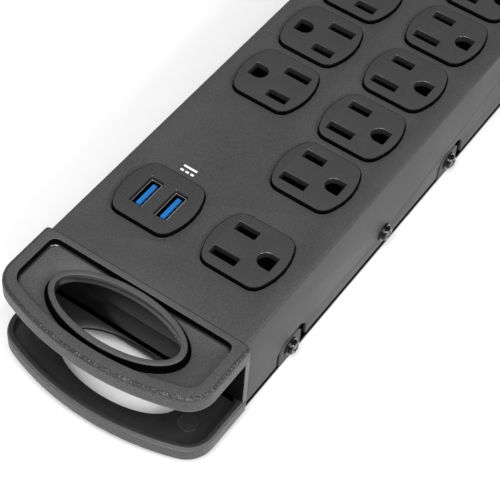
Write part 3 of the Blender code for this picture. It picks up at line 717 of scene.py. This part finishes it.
def grip_rows(lower):
    """Rows of growth, height and material down the grip's opening; only an upper half has a collar."""
    # The walls down into the recess, round the moat and outside the collar take the painted shade
    if lower:
        rows = [
            (GRIP_EASE, CAP_FLOOR, RIM),
            (0.0, CAP_FLOOR - GRIP_EASE, WALL_SHADE),
            (0.0, CAP_UNDERSIDE + GRIP_EASE, INSIDE),
        ]
    else:
        collar_top = CAP_HALF_HEIGHT - COLLAR_DROP
        moat = CAP_FLOOR - MOAT_DEPTH
        rows = [
            (COLLAR_WIDTH + MOAT_WIDTH + 0.5 * MM, CAP_FLOOR, WALL_SHADE),
            (COLLAR_WIDTH + MOAT_WIDTH, moat, WALL_SHADE),
            (COLLAR_WIDTH, moat, WALL_SHADE),
            (COLLAR_WIDTH, collar_top - 0.45 * MM, RIM),
            (COLLAR_WIDTH - 0.15 * MM, collar_top - 0.12 * MM, RIM),
            (COLLAR_WIDTH - 0.45 * MM, collar_top, RIM),
            (0.45 * MM, collar_top, RIM),
            (0.12 * MM, collar_top - 0.12 * MM, INSIDE),
            (0.0, collar_top - 0.45 * MM, INSIDE),
            (0.0, CAP_UNDERSIDE + GRIP_EASE, INSIDE),
        ]
    return rows + [(GRIP_EASE, CAP_UNDERSIDE, INSIDE)]


def plate_mesh(lower):
    """The rim, recess and grip opening of a handle half."""
    working = bmesh.new()
    rim = rim_rows()
    rings = []
    for inset, start, height, _ in rim:
        rings.append([working.verts.new((x, y, height)) for x, y in cap_outline(inset, start)])
    loft(working, rings, [row[-1] for row in rim])
    centre, half = (LOWER_GRIP_CENTRE, LOWER_GRIP_HALF) if lower else (GRIP_CENTRE, GRIP_HALF)
    grip = grip_rows(lower)
    loops = []
    for grow, height, _ in grip:
        points = ellipse((-centre, 0.0), half[0] + grow, half[1] + grow, GRIP_SIDES)
        loops.append([working.verts.new((x, y, height)) for x, y in points])
    loft(working, loops, [row[-1] for row in grip])
    inner_top = [working.verts.new((x, y, CAP_UNDERSIDE)) for x, y in cap_outline(CAP_WALL, END_WALL)]
    loft(working, [inner_top, rings[0]], [INSIDE])
    fill_between(working, rings[-1], loops[0], RIM)
    fill_between(working, inner_top, loops[-1], INSIDE)
    bmesh.ops.recalc_face_normals(working, faces=working.faces)
    plate = bpy.data.meshes.new("plate")
    working.to_mesh(plate)
    working.free()
    return plate


def end_wall_mesh(inlet):
    """The wall of a half toward the cover, with half of the gland's hole where there is one."""
    half = CAP_WIDTH / 2 - 0.2 * MM
    low = 0.06 * MM
    high = CAP_UNDERSIDE + 0.6 * MM
    outline = [(half, low), (half, high), (-half, high), (-half, low)]
    if inlet:
        outline += arc((0.0, 0.0), GLAND_RADIUS + GLAND_GAP, math.pi - 0.03, 0.03, 24)
    wall = prism_mesh(outline, [], 0.0, END_WALL, 0.12 * MM)
    wall.transform(Matrix(((0, 0, -1, 0), (1, 0, 0, 0), (0, 1, 0, 0), (0, 0, 0, 1))))
    weld(wall)
    # All but the end wall's narrow sides take the painted shade
    for polygon in wall.polygons:
        polygon.material_index = LIP if abs(polygon.normal.y) > 0.6 else SHADE
    return wall


def boss_mesh():
    """A screw boss under the recess."""
    low = CAP_UNDERSIDE - 0.5 * MM
    high = CAP_UNDERSIDE + 0.3 * MM
    profile = [(0.0, low), (BOSS_RADIUS, low), (BOSS_RADIUS, high), (0.0, high)]
    return lathe_mesh(eased_profile(profile, 0.2 * MM), 32)


def cap_mesh(lower, inlet):
    """Half a handle at the -X end, as it lies when it is the upper one, about the handle's middle."""
    parts = [(plate_mesh(lower), None), (end_wall_mesh(inlet), None)]
    for side in (-1, 1):
        parts.append((moved(boss_mesh(), (-BOSS_PLACE[0], side * BOSS_PLACE[1], 0.0)), INSIDE))
    return join_meshes(parts)


def build_caps(looks):
    materials = [looks[key] for key in ("grained", "rim", "lip", "inside", "wall", "gloss", "shade")]
    for end, side, turn in (("near", -1, 0.0), ("far", 1, math.pi)):
        for half, flip in (("top", 0.0), ("bottom", math.pi)):
            mesh = cap_mesh(half == "bottom", end == "far")
            mesh.transform(Matrix.Rotation(flip, 4, "X"))
            moved(mesh, (side * HALF_LENGTH, 0.0, CAP_MID_Z), turn)
            finish_piece(f"{end}_handle_{half}", mesh, materials,
                         replaced=[f"{end}_cap_{half}"], smooth=50.0)


# Screws


def screw_mesh():
    """A pan head with a washer flange and a cross recess, along +Z."""
    profile = [(radius * MM, height * MM) for radius, height in SCREW_SECTION]
    head = new_object("head", lathe_mesh(eased_profile(profile, 0.18 * MM), 40))
    arms = []
    for turn in (0.0, math.pi / 2):
        outline = rounded((0.0, 0.0), SCREW_CROSS, 0.15 * MM)
        arm = prism_mesh(outline, [], SCREW_CROSS_FLOOR, SCREW_HEAD_HEIGHT + MM)
        arms.append(moved(arm, turn=turn))
    for arm in arms:
        cutter = new_object("cutter", arm)
        cut = head.modifiers.new("cut", "BOOLEAN")
        cut.operation = "DIFFERENCE"
        cut.object = cutter
        mesh = to_mesh(head)
        head.modifiers.clear()
        head.data = mesh
        bpy.data.objects.remove(cutter, do_unlink=True)
    mesh = head.data
    bpy.data.objects.remove(head, do_unlink=True)
    for polygon in mesh.polygons:
        polygon.material_index = 1 if polygon.center.z > SCREW_CROWN else 0
    return mesh


def build_screws(looks):
    """Each screw's cross stands at its own angle, as screws do."""
    source = screw_mesh()
    materials = [looks["screw"], looks["screw_edge"]]
    for index in range(1, SCREW_COUNT + 1):
        node = f"side_screw_{index:02d}"
        low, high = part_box(node)
        side = 1 if low[1] > 0 else -1
        seat = high[1] - SCREW_HEAD_HEIGHT if side > 0 else low[1] + SCREW_HEAD_HEIGHT
        mesh = source.copy()
        mesh.transform(Matrix.Rotation(math.radians(23.0 + 37.0 * index), 4, "Z"))
        middle = place_of(node)
        moved(mesh, (middle[0], seat, middle[2]), math.radians(-90.0 * side), "X")
        finish_piece(f"pan_screw_{index:02d}", mesh, materials, replaced=[node])


# Controls and cord inlet


def rocker_height(across):
    """The rocker's hollow top, above its pivot."""
    return ROCKER_DIP + ROCKER_RISE * (across / ROCKER_REACH) ** 2


def rocker_outline():
    """The rocker from its side, about its pivot: a belly below and a hollow top."""
    points = [(-ROCKER_REACH, rocker_height(ROCKER_REACH))]
    points += [(across * MM, height * MM) for across, height in ROCKER_BELLY]
    for step in range(12):
        across = ROCKER_REACH * (1 - step / 6)
        points.append((across, rocker_height(across)))
    return points


def rocker_marks():
    """A bar on one end of the rocker and a ring on the other."""
    bar = prism_mesh(rounded((0.0, 0.0), MARK_BAR, 0.2 * MM), [], *MARK_HEIGHTS)
    outer, inner = (ellipse((0.0, 0.0), radius, radius, 32) for radius in MARK_RING)
    ring = prism_mesh(outer, [inner], *MARK_HEIGHTS)
    marks = []
    for mark, side in ((bar, 1), (ring, -1)):
        spot = side * MARK_PLACE
        turn = math.radians(-side * MARK_SLOPE)
        marks.append((moved(mark, (spot, 0.0, rocker_height(spot)), turn, "Y"), 1))
    return marks


def build_switch(looks):
    bezel = [looks["face_edge"], looks["slot"]]
    eased_copy("switch_frame", "switch_bezel", bezel, 0.35 * MM)
    body = prism_mesh(rocker_outline(), [], -ROCKER_HALF_WIDTH, ROCKER_HALF_WIDTH, 0.4 * MM)
    body.transform(Matrix.Rotation(math.radians(90.0), 4, "X"))
    mesh = join_meshes([(body, 0), *rocker_marks()])
    moved(mesh, (*SWITCH_PLACE, ROCKER_PIVOT), math.radians(ROCKER_LEAN), "Y")
    materials = [looks["red"], looks["white"]]
    finish_piece("rocker_lens", mesh, materials, "rocker", ["switch_rocker"])


def build_breaker(looks):
    low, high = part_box("breaker_body")
    top = high[2]
    flange, flange_height = BREAKER_FLANGE
    well, well_floor = BREAKER_WELL
    profile = eased_profile([(BREAKER_RADIUS, low[2] + MM), (BREAKER_RADIUS, top - flange_height),
                             (flange, top - flange_height), (flange, top), (well, top), (well, well_floor),
                             (0.0, well_floor)], 0.25 * MM)
    closed = [(0.0, low[2]), (BREAKER_RADIUS, low[2])] + profile
    mesh = moved(lathe_mesh(closed, 56), (*BREAKER_PLACE, 0.0))
    finish_piece("breaker_bushing", mesh, [looks["slot"]], replaced=["breaker_body"])
    low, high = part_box("breaker_button")
    top = high[2]
    profile = eased_profile([(0.0, low[2]), (BUTTON_RADIUS, low[2]), (BUTTON_RADIUS, top - 0.2 * MM),
                             (BUTTON_RADIUS - 0.5 * MM, top), (BUTTON_RADIUS - MM, top - 0.15 * MM),
                             (0.0, top - 0.5 * MM)], 0.3 * MM)
    mesh = moved(lathe_mesh(profile, 48), (*BREAKER_PLACE, 0.0))
    finish_piece("reset_cap", mesh, [looks["button"]], "reset_button", ["breaker_button"])


def build_inlet(looks):
    """The gland: two flanges either side of the end wall and a ribbed nose, open down the middle."""
    low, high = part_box("cord_gland")
    flange, thickness = GLAND_FLANGE
    inner = HALF_LENGTH - GLAND_GAP
    outer = HALF_LENGTH + END_WALL + GLAND_GAP
    nose = outer + thickness
    profile = [(GLAND_BORE, low[0]), (GLAND_RADIUS, low[0]), (GLAND_RADIUS, inner - thickness),
               (flange, inner - thickness), (flange, inner), (GLAND_RADIUS, inner), (GLAND_RADIUS, outer),
               (flange, outer), (flange, nose)]
    for index in range(RIB_COUNT):
        radius = RIB_RADIUS - RIB_TAPER * index
        here = nose + index * RIB_PITCH
        profile += [(radius - RIB_DEPTH, here + 0.05 * MM), (radius - RIB_DEPTH, here + 0.45 * RIB_PITCH),
                    (radius, here + 0.5 * RIB_PITCH), (radius, here + RIB_PITCH)]
    profile += [(GLAND_NOSE, high[0]), (GLAND_BORE, high[0] - 0.3 * MM), (GLAND_BORE, low[0])]
    mesh = moved(lathe_mesh(eased_profile(profile, 0.22 * MM), 48, "X"), (0.0, 0.0, CAP_MID_Z))
    weld(mesh)
    finish_piece("cord_bushing", mesh, [looks["rubber"]], replaced=["cord_gland"])


def build_label(looks):
    """A plain direct-current sign, printed: a solid bar over a dashed one."""
    x, y = LABEL_PLACE
    bars = [(LABEL_ROW, 0.0, LABEL_BAR)]
    bars += [(-LABEL_ROW, step * LABEL_DASH_PITCH, LABEL_DASH) for step in (-1, 0, 1)]
    parts = []
    for up, across, length in bars:
        outline = rounded((x + up, y + across), (LABEL_STROKE, length), 0.15 * MM)
        parts.append((prism_mesh(outline, [], COVER_TOP - SKIN, COVER_TOP + LABEL_HEIGHT), 0))
    finish_piece("printed_sign", join_meshes(parts), [looks["white"]])


# Setting


def build_housing(looks):
    coat = [looks["coat"], looks["coat_edge"]]
    fillers = []
    for node in [f"outlet_{index:02d}" for index in range(1, OUTLET_COUNT + 1)] + ["usb_face"]:
        fillers += corner_fillers(*place_of(node)[:2])
    eased_copy("top_cover", "cover_shell", coat, 0.16 * MM, extra=fillers)
    pan = eased_copy("base_plate", "base_pan", coat, 0.16 * MM)
    # Painted shade on the pan's low upward faces, in the gap below the cover
    pan.data.materials.append(looks["wall"])
    for polygon in pan.data.polygons:
        if polygon.normal.z > 0.9 and polygon.center.z < 1.1 * MM:
            polygon.material_index = 2
    # The liner, seen through the gaps round the tabs, is painted shade
    finish_node("liner", looks["wall"])
    finish_node("gland_ring", looks["button"])
    for node in ("surge_board", "usb_board"):
        finish_node(node, looks["board"])
    for index in (1, 2, 3):
        finish_node(f"varistor_{index}", looks["disc"])
    for kind in ("line", "neutral", "ground"):
        for side in ("right", "left"):
            finish_node(f"{kind}_bus_{side}", looks["brass"])


def add_light(name, place, size, power):
    """A square lamp that faces the middle of the strip."""
    lamp = bpy.data.lights.new(name, "AREA")
    lamp.shape = "SQUARE"
    lamp.size = size
    lamp.energy = power
    obj = new_object(name, lamp)
    obj.location = place
    obj.rotation_euler = (-Vector(place)).to_track_quat("-Z", "Y").to_euler()


def build_setting():
    world = bpy.data.worlds.new("studio")
    bpy.context.scene.world = world
    bpy.context.scene.view_settings.view_transform = "Standard"
    world.use_nodes = True
    background = world.node_tree.nodes["Background"]
    background.inputs["Color"].default_value = (1.0, 1.0, 1.0, 1.0)
    background.inputs["Strength"].default_value = 0.4
    add_light("key", (-0.25, -1.0, 0.8), 0.5, 10.0)
    add_light("overhead", (-0.75, -0.2, 1.1), 0.8, 18.0)
    mesh = bpy.data.meshes.new("floor")
    half = 4.0
    low = -0.2 * MM
    corners = [(-half, -half, low), (half, -half, low), (half, half, low), (-half, half, low)]
    mesh.from_pydata(corners, [], [(0, 1, 2, 3)])
    mesh.materials.append(surface("floor_white", (0.86, 0.86, 0.86), 0.8, 8 * MM, 0.001 * MM, 0.005))
    new_object("floor", mesh)


def build_camera():
    azimuth, elevation, roll = (math.radians(angle) for angle in (-150.011, 49.678, 5.732))
    target = Vector((-81.12 * MM, -13.903 * MM, 40.0 * MM))
    distance = 534.439 * MM
    back = Vector((math.cos(elevation) * math.cos(azimuth), math.cos(elevation) * math.sin(azimuth),
                   math.sin(elevation)))
    right = Vector((-math.sin(azimuth), math.cos(azimuth), 0.0))
    up = back.cross(right)
    side = math.cos(roll) * right + math.sin(roll) * up
    top = math.cos(roll) * up - math.sin(roll) * right
    camera = bpy.data.cameras.new("camera")
    camera.sensor_width = 36.0
    camera.lens = 117.54
    camera.shift_x = -0.04976
    camera.shift_y = -0.09127
    camera.clip_start = 10 * MM
    obj = new_object("camera", camera)
    place = Matrix((side, top, back)).transposed().to_4x4()
    place.translation = target + back * distance
    obj.matrix_world = place
    bpy.context.scene.camera = obj


build_camera()
build_setting()
looks = make_materials()
build_housing(looks)
build_outlets(looks)
build_usb(looks)
build_caps(looks)
build_screws(looks)
build_switch(looks)
build_breaker(looks)
build_inlet(looks)
build_label(looks)
